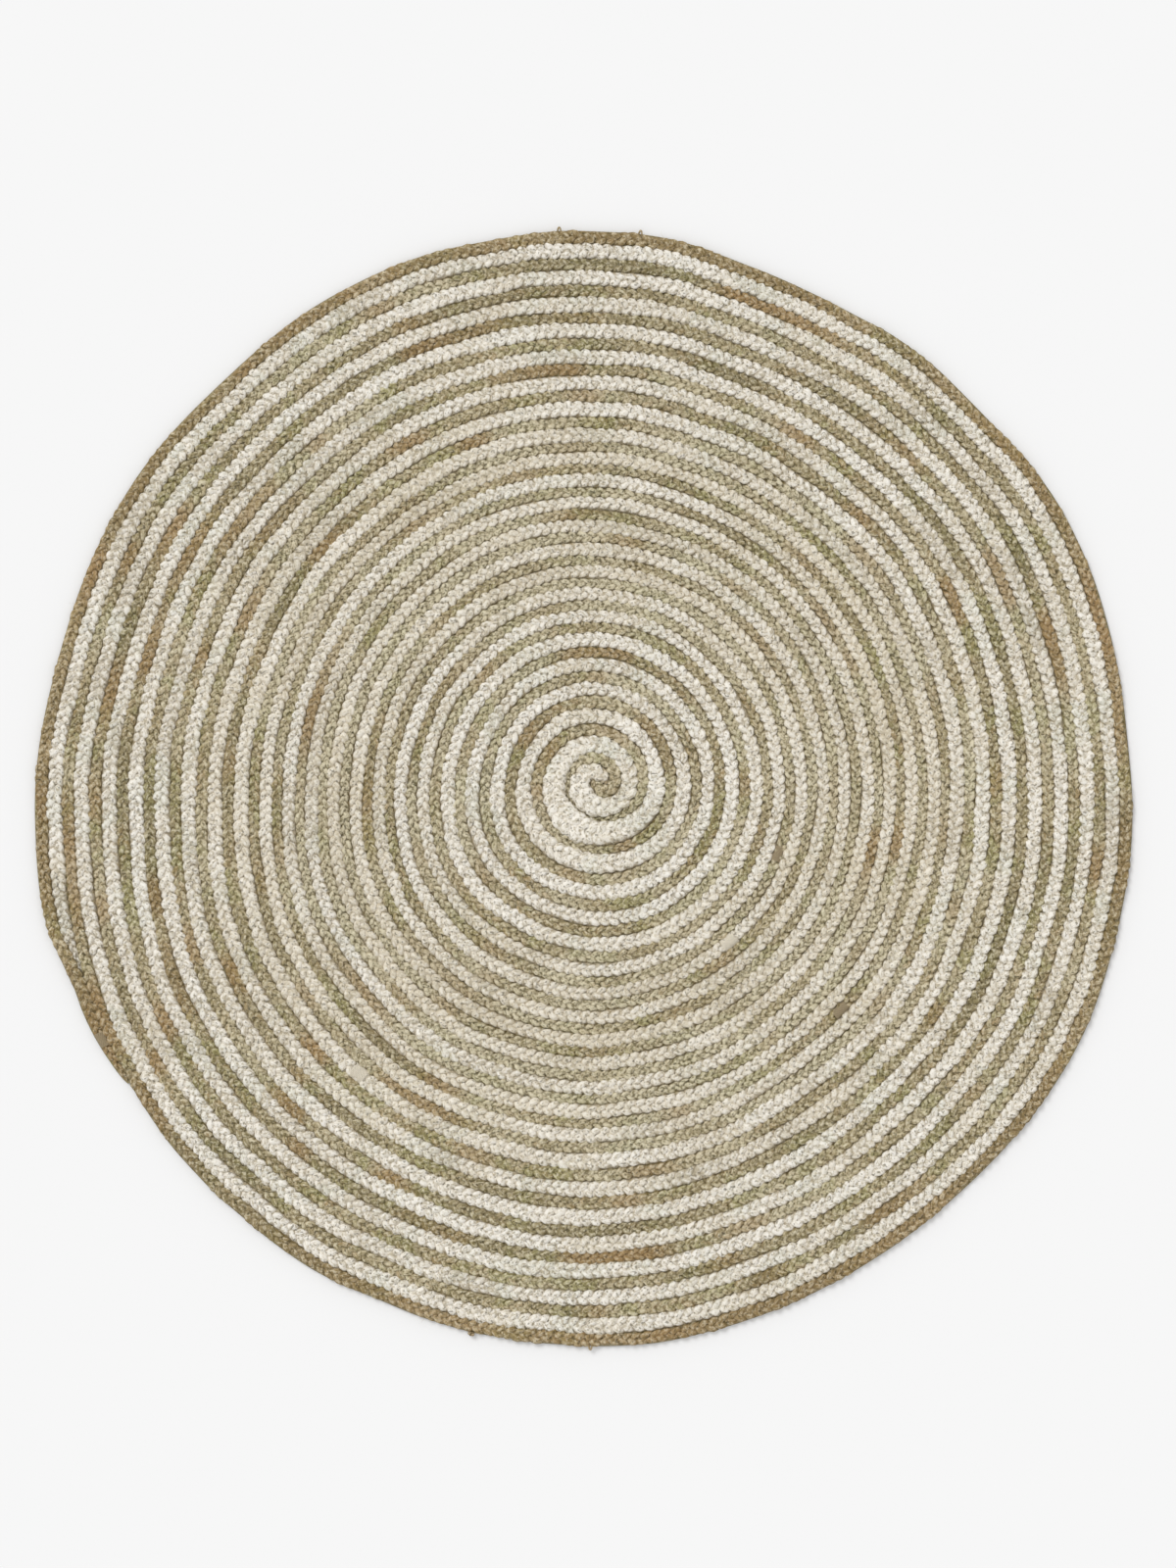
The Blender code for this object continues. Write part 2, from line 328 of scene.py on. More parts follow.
def even_path(points, rows, step):
    """Points an even step apart along a line, their distances, and rows of values to match."""
    distance = np.concatenate([[0.0], np.cumsum(np.hypot(*np.diff(points, axis=0).T))])
    count = max(2, round(distance[-1] / step) + 1)
    even = np.linspace(0.0, distance[-1], count)
    placed = np.stack([np.interp(even, distance, column) for column in points.T], 1)
    return placed, even, [np.interp(even, distance, row) for row in rows]


def outward(points):
    """Directions at right angles to the line, towards the rim."""
    along = np.gradient(points, axis=0)
    across = np.stack([along[:, 1], -along[:, 0]], 1)
    return across / np.hypot(*across.T)[:, None]


def whole_plait(kind):
    """A colour's whole plait, finely stepped: points, distances, turns, half widths and fills."""
    start, end = (WHITE_TUCK, OUTER_TURN) if kind == WHITE else (0.0, JUTE_END)
    turn = np.linspace(start, end, FINE_TURNS)
    middle, width, fill = lane(kind, turn)
    points = np.stack([np.cos(math.tau * turn), np.sin(math.tau * turn)], 1) * middle[:, None]
    half = width / 2
    if kind == JUTE:
        angle = np.linspace(math.pi, math.tau, 200)[:-1]
        bend = EYE_RADIUS + core_jute_width() / 2
        eye = np.stack([eye_centre() + bend * np.cos(angle), bend * np.sin(angle)], 1)
        eye[0, 1] += JUTE_START_TUCK
        points = np.concatenate([eye, points])
        turn = np.concatenate([angle / math.tau - 1, turn])
        half = np.concatenate([np.full(len(angle), core_jute_width() / 2), half])
        fill = np.concatenate([np.ones(len(angle)), fill])
    rays = points / np.maximum(np.hypot(*points.T), 1e-6)[:, None]
    skew = np.clip((outward(points) * rays).sum(1), 0.5, 1.0)
    skew[turn < 0.1] = 1.0
    points, _, rows = even_path(wandered(points), (turn, half * skew, fill), FINE_STEP)
    reach = round(PATH_SOFTENING / FINE_STEP)
    points = np.stack([softened(column, reach) for column in points.T], 1)
    points, distance, rows = even_path(points, [softened(row, reach) for row in rows], FINE_STEP)
    return {"point": points, "along": distance, "turn": rows[0], "half": rows[1], "fill": rows[2]}


PLAITS = {kind: whole_plait(kind) for kind in (WHITE, JUTE)}


def length_between(kind, start, end, step):
    """One length of a plait between two distances along it, as rows for a path mesh."""
    whole = PLAITS[kind]
    count = max(4, round((end - start) / step) + 1)
    along = np.linspace(start, end, count)
    keys = ("turn", "half", "fill")
    found = {name: np.interp(along, whole["along"], whole[name]) for name in keys}
    found["point"] = np.stack([np.interp(along, whole["along"], c) for c in whole["point"].T], 1)
    across = outward(whole["point"])
    found["across"] = np.stack([np.interp(along, whole["along"], c) for c in across.T], 1)
    full = WHITE_HEIGHT if kind == WHITE else JUTE_HEIGHT
    found["height"] = full * (1 - TAIL_THINNING * (1 - found["fill"]))
    found["along"] = along
    return found


def distance_at(kind, turn):
    return float(np.interp(turn, PLAITS[kind]["turn"], PLAITS[kind]["along"]))


def path_mesh(name, points, rows):
    """A line of edges with a value or a direction on each point, for a node tree to work on."""
    data = bpy.data.meshes.new(name)
    count = len(points)
    flat = np.zeros((count, 3))
    flat[:, : points.shape[1]] = points
    data.from_pydata(flat.tolist(), [(i, i + 1) for i in range(count - 1)], [])
    for key, values in rows.items():
        kind = "FLOAT_VECTOR" if values.ndim == 2 else "FLOAT"
        attribute = data.attributes.new(key, kind, "POINT")
        if values.ndim == 2:
            full = np.zeros((count, 3))
            full[:, : values.shape[1]] = values
            attribute.data.foreach_set("vector", full.ravel())
        else:
            attribute.data.foreach_set("value", values)
    piece = bpy.data.objects.new(name, data)
    bpy.context.scene.collection.objects.link(piece)
    return piece


class Wire:
    """A node socket that Python's own signs work on, each adding a Math node."""

    def __init__(self, tree, socket):
        self.tree = tree
        self.socket = socket

    def math(self, operation, *others):
        node = self.tree.nodes.new("ShaderNodeMath")
        node.operation = operation
        for socket, value in zip(node.inputs, (self, *others)):
            feed(self.tree, value, socket)
        return Wire(self.tree, node.outputs[0])

    def vector(self, operation, other, slot=1):
        node = self.tree.nodes.new("ShaderNodeVectorMath")
        node.operation = operation
        feed(self.tree, self, node.inputs[0])
        feed(self.tree, other, node.inputs[slot])
        return Wire(self.tree, node.outputs[0])

    def __add__(self, other):
        return self.math("ADD", other)

    def __sub__(self, other):
        return self.math("SUBTRACT", other)

    def __mul__(self, other):
        return self.math("MULTIPLY", other)

    def __truediv__(self, other):
        return self.math("DIVIDE", other)

    def plus(self, other):
        return self.vector("ADD", other)

    def each(self, other):
        return self.vector("MULTIPLY", other)

    def scaled(self, other):
        return self.vector("SCALE", other, slot=3)

    def part(self, index):
        node = self.tree.nodes.new("ShaderNodeSeparateXYZ")
        feed(self.tree, self, node.inputs[0])
        return Wire(self.tree, node.outputs[index])

    def spread(self, low, high):
        """0 at low, 1 at high, held beyond both."""
        node = self.tree.nodes.new("ShaderNodeMapRange")
        feed(self.tree, self, node.inputs[0])
        node.inputs[1].default_value = low
        node.inputs[2].default_value = high
        return Wire(self.tree, node.outputs[0])


def feed(tree, value, socket):
    if isinstance(value, Wire):
        tree.links.new(value.socket, socket)
    else:
        socket.default_value = value


def add_node(tree, kind, inputs, output=0, **settings):
    """Adds a node with its own settings, feeds its inputs by identifier, gives one output."""
    node = tree.nodes.new(kind)
    for name, value in settings.items():
        setattr(node, name, value)
    for identifier, value in inputs.items():
        feed(tree, value, next(s for s in node.inputs if s.identifier == identifier))
    return Wire(tree, node.outputs[output])


def combined(tree, x, y, z):
    node = tree.nodes.new("ShaderNodeCombineXYZ")
    for socket, value in zip(node.inputs, (x, y, z)):
        feed(tree, value, socket)
    return Wire(tree, node.outputs[0])


def noise(tree, place, detail=2.0, roughness=0.5):
    return add_node(
        tree,
        "ShaderNodeTexNoise",
        {"Vector": place, "Scale": 1.0, "Detail": detail, "Roughness": roughness},
    )


def start_tree(name, numbers):
    """A geometry tree with a Geometry, named numbers and a Material going in."""
    tree = bpy.data.node_groups.new(name, "GeometryNodeTree")
    tree.interface.new_socket("Geometry", in_out="INPUT", socket_type="NodeSocketGeometry")
    for label in numbers:
        tree.interface.new_socket(label, in_out="INPUT", socket_type="NodeSocketFloat")
    tree.interface.new_socket("Material", in_out="INPUT", socket_type="NodeSocketMaterial")
    tree.interface.new_socket("Geometry", in_out="OUTPUT", socket_type="NodeSocketGeometry")
    entry = tree.nodes.new("NodeGroupInput")
    given = {s.name: Wire(tree, s) for s in entry.outputs if s.name}
    return tree, given


def end_tree(tree, geometry, material):
    smooth = add_node(tree, "GeometryNodeSetShadeSmooth", {"Geometry": geometry})
    real = add_node(tree, "GeometryNodeRealizeInstances", {"Geometry": smooth})
    finished = add_node(tree, "GeometryNodeSetMaterial", {"Geometry": real, "Material": material})
    leave = tree.nodes.new("NodeGroupOutput")
    tree.links.new(finished.socket, leave.inputs[0])
    return tree


def named(tree, key, kind="FLOAT"):
    return add_node(tree, "GeometryNodeInputNamedAttribute", {"Name": key}, data_type=kind)


def stored(tree, geometry, key, value, kind="FLOAT"):
    return add_node(
        tree,
        "GeometryNodeStoreNamedAttribute",
        {"Geometry": geometry, "Name": key, "Value": value},
        data_type=kind,
    )


def curve_through(tree, path, moved):
    """The path as a curve, with its points where moved has them."""
    curve = add_node(tree, "GeometryNodeMeshToCurve", {"Mesh": path})
    return add_node(tree, "GeometryNodeSetPosition", {"Geometry": curve, "Position": moved})


def fibre_on(tree, tube, along):
    """Stores the tube's own fibre coordinates: the distance along, and the way round as a ring."""
    around = named(tree, "around")
    ring = combined(tree, along, around.math("COSINE"), around.math("SINE"))
    return stored(tree, tube, "fibre", ring, "FLOAT_VECTOR")


def swept(tree, curve, sides, flatness, scale):
    """A closed tube along a curve. Its own points know the angle that they are at round it."""
    circle = add_node(
        tree, "GeometryNodeCurvePrimitiveCircle", {"Resolution": sides, "Radius": 1.0}
    )
    index = add_node(tree, "GeometryNodeInputIndex", {})
    marked = stored(tree, circle, "around", index * (math.tau / sides))
    oval = add_node(
        tree,
        "GeometryNodeTransform",
        {"Geometry": marked, "Scale": combined(tree, 1.0, flatness, 1.0)},
    )
    return add_node(
        tree,
        "GeometryNodeCurveToMesh",
        {"Curve": curve, "Profile Curve": oval, "Scale": scale, "Fill Caps": True},
    )


def strand_tree():
    """One of the three strands of a plait: a figure of eight across the plait's own path."""
    labels = (
        "Strand", "Repeat", "Strand Width", "Strand Thickness", "Flatness", "Unevenness",
        "Lumps", "Seed",
    )
    tree, given = start_tree("plait_strand", labels)
    along = named(tree, "along")
    half, height = named(tree, "half"), named(tree, "height")
    across = named(tree, "across", "FLOAT_VECTOR")
    own = given["Strand"] * 7.3 + given["Seed"]
    slow = noise(tree, combined(tree, along * SLOW_WAVES, given["Seed"], 0.0)) - 0.5
    quick = noise(tree, combined(tree, along * QUICK_WAVES, own, 3.0)) - 0.5
    lift_noise = noise(tree, combined(tree, along * LIFT_WAVES, own, 9.0)) - 0.5
    phase = along / given["Repeat"] * math.tau + given["Strand"] * (math.tau / 3)
    phase = phase + slow * given["Unevenness"] * 6.0
    swerve = (phase.math("SINE") * SIDE_STAY).math("TANH") / math.tanh(SIDE_STAY)
    shift = half * swerve
    shift = shift - shift * given["Strand Width"]
    shift = shift * (quick * given["Unevenness"] + 1.0)
    swing = height * (phase * 2.0).math("SINE")
    lift = height * 0.5 + swing * 0.5 - swing * given["Strand Thickness"]
    lift = lift + height * lift_noise * given["Unevenness"] * 0.35
    place = add_node(tree, "GeometryNodeInputPosition", {})
    moved = place.plus(across.scaled(shift)).plus(combined(tree, 0.0, 0.0, lift))
    curve = curve_through(tree, given["Geometry"], moved)
    curve = add_node(tree, "GeometryNodeSetCurveNormal", {"Curve": curve}, mode="Z_UP")
    plump = half * given["Strand Width"] * (quick * given["Unevenness"] * 1.6 + 1.0)
    tube = swept(tree, curve, STRAND_SIDES, given["Flatness"], plump)
    around = named(tree, "around")
    ring = combined(tree, 0.0, around.math("COSINE"), around.math("SINE"))
    fibre = ring.plus(combined(tree, along, 0.0, 0.0))
    seeded = fibre.each((LUMP_WAVES, 1.3, 1.3)).plus(combined(tree, 0.0, own, own))
    bump = (noise(tree, seeded) - 0.5) * given["Lumps"]
    normal = add_node(tree, "GeometryNodeInputNormal", {})
    now = add_node(tree, "GeometryNodeInputPosition", {}).plus(normal.scaled(bump))
    kept = combined(tree, now.part(0), now.part(1), now.part(2).math("MAXIMUM", STRAND_LOWEST))
    tube = add_node(tree, "GeometryNodeSetPosition", {"Geometry": tube, "Position": kept})
    tube = stored(tree, tube, "fibre", fibre, "FLOAT_VECTOR")
    tube = stored(tree, tube, "strand", own)
    # Depth down from the plait's top, turned into painted shade by the fibre material.
    level = add_node(tree, "GeometryNodeInputPosition", {}).part(2)
    tube = stored(tree, tube, "depth", (level / height).math("SUBTRACT", 1.0) * -1.0)
    return end_tree(tree, tube, given["Material"])


def packing_tree():
    """Fibres that lie straight along the inside of a plait and close its grooves from below."""
    tree, given = start_tree("plait_packing", ("Overlap", "Flatness", "Lift"))
    place = add_node(tree, "GeometryNodeInputPosition", {})
    lifted = place.plus(combined(tree, 0.0, 0.0, named(tree, "height") * given["Lift"]))
    curve = curve_through(tree, given["Geometry"], lifted)
    curve = add_node(tree, "GeometryNodeSetCurveNormal", {"Curve": curve}, mode="Z_UP")
    half = named(tree, "half") + given["Overlap"]
    tube = swept(tree, curve, STRAND_SIDES, given["Flatness"], half)
    height = place.part(2).math("MAXIMUM", PACKING_LOWEST)
    kept = combined(tree, place.part(0), place.part(1), height)
    tube = add_node(tree, "GeometryNodeSetPosition", {"Geometry": tube, "Position": kept})
    around = named(tree, "around")
    sides = around.math("COSINE") * 3.0, around.math("SINE") * 3.0
    ring = combined(tree, named(tree, "along"), *sides)
    tube = stored(tree, tube, "fibre", ring, "FLOAT_VECTOR")
    # The packing's fixed depth darkens it as painted shade between the strands.
    tube = stored(tree, tube, "depth", PACKING_SHADE_DEPTH)
    return end_tree(tree, tube, given["Material"])


def yarn_tree():
    """A round yarn or thread along a path that is already laid in space."""
    tree, given = start_tree("laid_yarn", ("Radius",))
    curve = add_node(tree, "GeometryNodeMeshToCurve", {"Mesh": given["Geometry"]})
    tube = swept(tree, curve, 6, 1.0, given["Radius"] * named(tree, "plump"))
    tube = fibre_on(tree, tube, named(tree, "along"))
    return end_tree(tree, tube, given["Material"])


def seam_tree():
    """Seam stitches: a thread that swings from turn to turn and climbs into both."""
    tree, given = start_tree("seam_stitch", ("Stitch", "Throw", "Low", "Climb", "Radius"))
    along = named(tree, "along")
    swing = (along / given["Stitch"] * math.tau).math("SINE")
    shift = swing * given["Throw"]
    lift = swing * swing * given["Climb"] + given["Low"]
    place = add_node(tree, "GeometryNodeInputPosition", {})
    across = named(tree, "across", "FLOAT_VECTOR")
    moved = place.plus(across.scaled(shift)).plus(combined(tree, 0.0, 0.0, lift))
    curve = curve_through(tree, given["Geometry"], moved)
    tube = swept(tree, curve, 4, 1.0, given["Radius"])
    tube = fibre_on(tree, tube, along)
    return end_tree(tree, tube, given["Material"])


def whipping_tree():
    """Thread wound round and round a plait at a join."""
    tree, given = start_tree("whipping", ("Turn", "Stand Off", "Radius"))
    along = named(tree, "along")
    angle = along / given["Turn"] * math.tau
    half = named(tree, "half") + given["Stand Off"]
    tall = named(tree, "height") * 0.5
    place = add_node(tree, "GeometryNodeInputPosition", {})
    across = named(tree, "across", "FLOAT_VECTOR")
    rise = angle.math("SINE") * (tall - given["Radius"]) + tall
    moved = place.plus(across.scaled(half * angle.math("COSINE")))
    moved = moved.plus(combined(tree, 0.0, 0.0, rise))
    curve = curve_through(tree, given["Geometry"], moved)
    tube = swept(tree, curve, 6, 1.0, given["Radius"])
    tube = fibre_on(tree, tube, along * 30.0)
    return end_tree(tree, tube, given["Material"])


def fuzz_tree():
    """Loose fibres that stand out of the upper side and the rim of the plaits."""
    tree, given = start_tree("loose_fibres", ("Density", "Length", "Radius", "Seed"))
    seed = given["Seed"].math("FLOOR")
    normal = add_node(tree, "GeometryNodeInputNormal", {})
    upper = normal.part(2).math("GREATER_THAN", FIBRE_UPWARD)
    scatter = tree.nodes.new("GeometryNodeDistributePointsOnFaces")
    feed(tree, given["Geometry"], scatter.inputs["Mesh"])
    feed(tree, upper, scatter.inputs["Selection"])
    feed(tree, given["Density"], scatter.inputs["Density"])
    feed(tree, seed, scatter.inputs["Seed"])
    place = add_node(tree, "GeometryNodeInputPosition", {})
    points = stored(tree, Wire(tree, scatter.outputs["Points"]), "fibre", place, "FLOAT_VECTOR")
    facing = Wire(tree, scatter.outputs["Rotation"])
    shape = tree.nodes.new("GeometryNodeCurvePrimitiveBezierSegment")
    shape.mode = "OFFSET"
    shape.inputs["Resolution"].default_value = 3
    shape.inputs["Start"].default_value = (0, 0, -0.06)
    shape.inputs["Start Handle"].default_value = (0.15, 0, 0.22)
    shape.inputs["End"].default_value = (1.0, 0.16, 0.10)
    shape.inputs["End Handle"].default_value = (-0.35, 0.12, 0.10)
    bare = Wire(tree, shape.outputs[0])
    reach = add_node(tree, "GeometryNodeSplineParameter", {})
    thin = (reach * -0.75 + 1.0) * given["Radius"]
    circle = add_node(tree, "GeometryNodeCurvePrimitiveCircle", {"Resolution": 3, "Radius": 1.0})
    hair = add_node(
        tree,
        "GeometryNodeCurveToMesh",
        {"Curve": bare, "Profile Curve": circle, "Scale": thin, "Fill Caps": True},
    )
    turned = add_node(
        tree,
        "FunctionNodeRandomValue",
        {"Min": (-0.25, -0.5, 0.0), "Max": (0.25, 0.15, math.tau), "Seed": seed},
        data_type="FLOAT_VECTOR",
    )
    turned = add_node(tree, "FunctionNodeEulerToRotation", {"Euler": turned})
    laid = add_node(
        tree,
        "FunctionNodeRotateRotation",
        {"Rotation": facing, "Rotate By": turned},
        rotation_space="LOCAL",
    )
    size = tree.nodes.new("FunctionNodeRandomValue")
    size.data_type = "FLOAT"
    size.inputs[2].default_value = 0.45
    size.inputs[3].default_value = 1.25
    feed(tree, seed + 1.0, size.inputs["Seed"])
    size = Wire(tree, size.outputs[1]) * given["Length"]
    even = combined(tree, size, size, size)
    placed = add_node(
        tree,
        "GeometryNodeInstanceOnPoints",
        {"Points": points, "Instance": hair, "Rotation": laid, "Scale": even},
    )
    real = add_node(tree, "GeometryNodeRealizeInstances", {"Geometry": placed})
    height = place.part(2).math("MAXIMUM", FIBRE_LOWEST)
    kept = combined(tree, place.part(0), place.part(1), height)
    real = add_node(tree, "GeometryNodeSetPosition", {"Geometry": real, "Position": kept})
    return end_tree(tree, real, given["Material"])


def grow(tree, source, name, numbers, material):
    """Runs a tree on a path and leaves a plain mesh object of that name."""
    modifier = source.modifiers.new(tree.name, "NODES")
    modifier.node_group = tree
    sockets = {
        item.name: item.identifier
        for item in tree.interface.items_tree
        if item.in_out == "INPUT"
    }
    for label, value in numbers.items():
        modifier[sockets[label]] = value
    modifier[sockets["Material"]] = material
    source.update_tag()
    bpy.context.view_layer.update()
    graph = bpy.context.evaluated_depsgraph_get()
    data = bpy.data.meshes.new_from_object(source.evaluated_get(graph))
    source.modifiers.remove(modifier)
    data.name = name
    data.materials.clear()
    data.materials.append(material)
    data.polygons.foreach_set("material_index", np.zeros(len(data.polygons), dtype=np.int32))
    for key in ("across", "around", "half", "height", "along", "turn", "fill", "plump"):
        if key in data.attributes:
            data.attributes.remove(data.attributes[key])
    piece = bpy.data.objects.new(name, data)
    bpy.context.scene.collection.objects.link(piece)
    return piece


def drop(source):
    data = source.data
    bpy.data.objects.remove(source)
    bpy.data.meshes.remove(data)


def settle(piece, slot, *nodes):
    """Rides a finished piece on the rug and hides the nodes it stands for."""
    if not len(piece.data.polygons):
        raise RuntimeError(f"{piece.name} came out empty")
    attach(piece, "root")
    if nodes:
        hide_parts(*nodes)
    return piece


def patchy(along, size, seed):
    """A smooth random value from -1 to 1 that changes over this length."""
    levels = np.random.default_rng(seed).uniform(-1, 1, 4000)
    whole = np.floor(along / size).astype(int)
    share = along / size - whole
    share = share * share * (3 - 2 * share)
    return levels[whole % 4000] * (1 - share) + levels[(whole + 1) % 4000] * share


def shader_start(name):
    material = bpy.data.materials.new(name)
    material.use_nodes = True
    tree = material.node_tree
    return material, tree, tree.nodes["Principled BSDF"]


def mixed(tree, share, first, second, blend="MIX"):
    node = tree.nodes.new("ShaderNodeMix")
    node.data_type = "RGBA"
    node.blend_type = blend
    feed(tree, share, node.inputs["Factor"])
    sockets = [s for s in node.inputs if s.type == "RGBA"]
    for socket, value in zip(sockets, (first, second)):
        feed(tree, value if isinstance(value, Wire) else (*value, 1.0), socket)
    return Wire(tree, next(s for s in node.outputs if s.type == "RGBA"))


def attribute(tree, key, output="Fac"):
    node = tree.nodes.new("ShaderNodeAttribute")
    node.attribute_name = key
    return Wire(tree, node.outputs[output])


def fibre_material(name, base, pale, dark, warm, cool, sheen):
    """Flattened bundles of bast fibre: streaks along the strand, flecks, tone patches, painted
    shade.
    """
    material, tree, shader = shader_start(name)
    place = Wire(tree, tree.nodes.new("ShaderNodeTexCoord").outputs["Object"])
    mottle = noise(tree, place.scaled(330.0), 2.0, 0.6)
    pit_shade = noise(tree, place.scaled(400.0), 0.0)
    hue = noise(tree, place.scaled(24.0), 3.0, 0.6)
    fibre = attribute(tree, "fibre", "Vector")
    strand = attribute(tree, "strand")
    own = combined(tree, 0.0, strand * 0.37, strand * 0.53)
    streak = noise(tree, fibre.each((110.0, 4.2, 4.2)).plus(own), 3.0, 0.65)
    hair = noise(tree, fibre.each((420.0, 15.0, 15.0)).plus(own), 2.0, 0.6)
    fleck = noise(tree, fibre.each((260.0, 1.6, 1.6)).plus(own), 3.0, 0.65)
    patch = noise(tree, fibre.each((20.0, 0.25, 0.25)).plus(own), 2.0, 0.5)
    tone = attribute(tree, "tone")
    heat = attribute(tree, "warm")
    colour = mixed(tree, hue.spread(0.50, 0.60) * 0.75, base, cool)
    colour = mixed(tree, patch.spread(0.52, 0.70) * 0.65, colour, warm)
    colour = mixed(tree, heat.math("MINIMUM", 1.0) * 0.95, colour, warm)
    colour = mixed(tree, tone.spread(0.0, 1.0) * 0.65, colour, pale)
    colour = mixed(tree, tone.spread(0.0, -1.0) * 0.5, colour, dark)
    colour = mixed(tree, streak.spread(0.50, 0.74) * 0.7, colour, pale)
    colour = mixed(tree, streak.spread(0.48, 0.24) * 0.8, colour, dark)
    colour = mixed(tree, fleck.spread(0.54, 0.68) * 0.7, colour, pale)
    colour = mixed(tree, fleck.spread(0.46, 0.32) * 0.85, colour, dark)
    colour = mixed(tree, mottle.spread(0.53, 0.64) * 0.6, colour, pale)
    colour = mixed(tree, mottle.spread(0.47, 0.35) * 0.75, colour, dark)
    colour = mixed(tree, heat.math("MINIMUM", 1.0) * 0.35, colour, warm)
    # Near-black specks: painted shade of small pits between the fibres.
    colour = mixed(tree, pit_shade.spread(0.34, 0.27) * 0.65, colour, tuple(c * 0.35 for c in dark))
    # Painted shade: colour darkened towards the floor on the lower sides of strands and on the
    # packing.
    painted_shade = attribute(tree, "depth").spread(0.25, 0.75) * 0.75
    colour = mixed(tree, painted_shade, colour, tuple(c * s for c, s in zip(dark, PAINTED_SHADE_TINT)))
    tree.links.new(colour.socket, shader.inputs["Base Color"])
    rough = streak.spread(0.3, 0.7) * -0.22 + 0.88
    tree.links.new(rough.socket, shader.inputs["Roughness"])
    shader.inputs["Specular IOR Level"].default_value = 0.12
    shader.inputs["Sheen Weight"].default_value = sheen
    shader.inputs["Sheen Roughness"].default_value = 0.5
    shader.inputs["Sheen Tint"].default_value = (*pale, 1.0)
    bump = tree.nodes.new("ShaderNodeBump")
    bump.inputs["Strength"].default_value = 0.8
    bump.inputs["Distance"].default_value = 0.0007
    tree.links.new((streak + hair * 0.45 + fleck * 0.5).socket, bump.inputs["Height"])
    tree.links.new(bump.outputs[0], shader.inputs["Normal"])
    return material


def thread_material(colour):
    """Two-ply thread: a slanting twist with painted shade between the plies, a little sheen."""
    material, tree, shader = shader_start("sewing_thread_twist")
    fibre = attribute(tree, "fibre", "Vector")
    angle = fibre.part(2).math("ARCTAN2", fibre.part(1))
    twist = (fibre.part(0) * (math.tau / THREAD_TWIST) + angle * 2.0).math("SINE") * 0.5 + 0.5
    fuzz = noise(tree, fibre.each((900.0, 3.0, 3.0)), 2.0, 0.6)
    # The twist's darker lines are painted shade in the grooves between the two plies.
    shade = mixed(tree, twist.spread(0.0, 0.6), tuple(c * 0.45 for c in colour), colour)
    pale = tuple(min(1.0, c * 1.3) for c in colour)
    shade = mixed(tree, fuzz.spread(0.55, 0.8) * 0.6, shade, pale)
    shade = mixed(tree, attribute(tree, "tone") * 0.8, shade, PALE_THREAD)
    tree.links.new(shade.socket, shader.inputs["Base Color"])
    rough = fuzz * 0.2 + 0.65
    tree.links.new(rough.socket, shader.inputs["Roughness"])
    shader.inputs["Specular IOR Level"].default_value = 0.3
    shader.inputs["Sheen Weight"].default_value = 0.2
    bump = tree.nodes.new("ShaderNodeBump")
    bump.inputs["Strength"].default_value = 0.7
    bump.inputs["Distance"].default_value = 0.0003
    tree.links.new((twist + fuzz * 0.4).socket, bump.inputs["Height"])
    tree.links.new(bump.outputs[0], shader.inputs["Normal"])
    return material


def floor_material(colour):
    material, tree, shader = shader_start("stage_floor")
    place = Wire(tree, tree.nodes.new("ShaderNodeTexCoord").outputs["Object"])
    grain = noise(tree, place.scaled(6.0), 3.0, 0.5)
    shade = mixed(tree, grain, tuple(c * 0.995 for c in colour), colour)
    tree.links.new(shade.socket, shader.inputs["Base Color"])
    shader.inputs["Roughness"].default_value = 0.9
    shader.inputs["Specular IOR Level"].default_value = 0.0
    return material


def colour_property(name, description, default):
    return FloatVectorProperty(
        name=name, description=description, default=default, subtype="COLOR", min=0.0, max=1.0,
    )


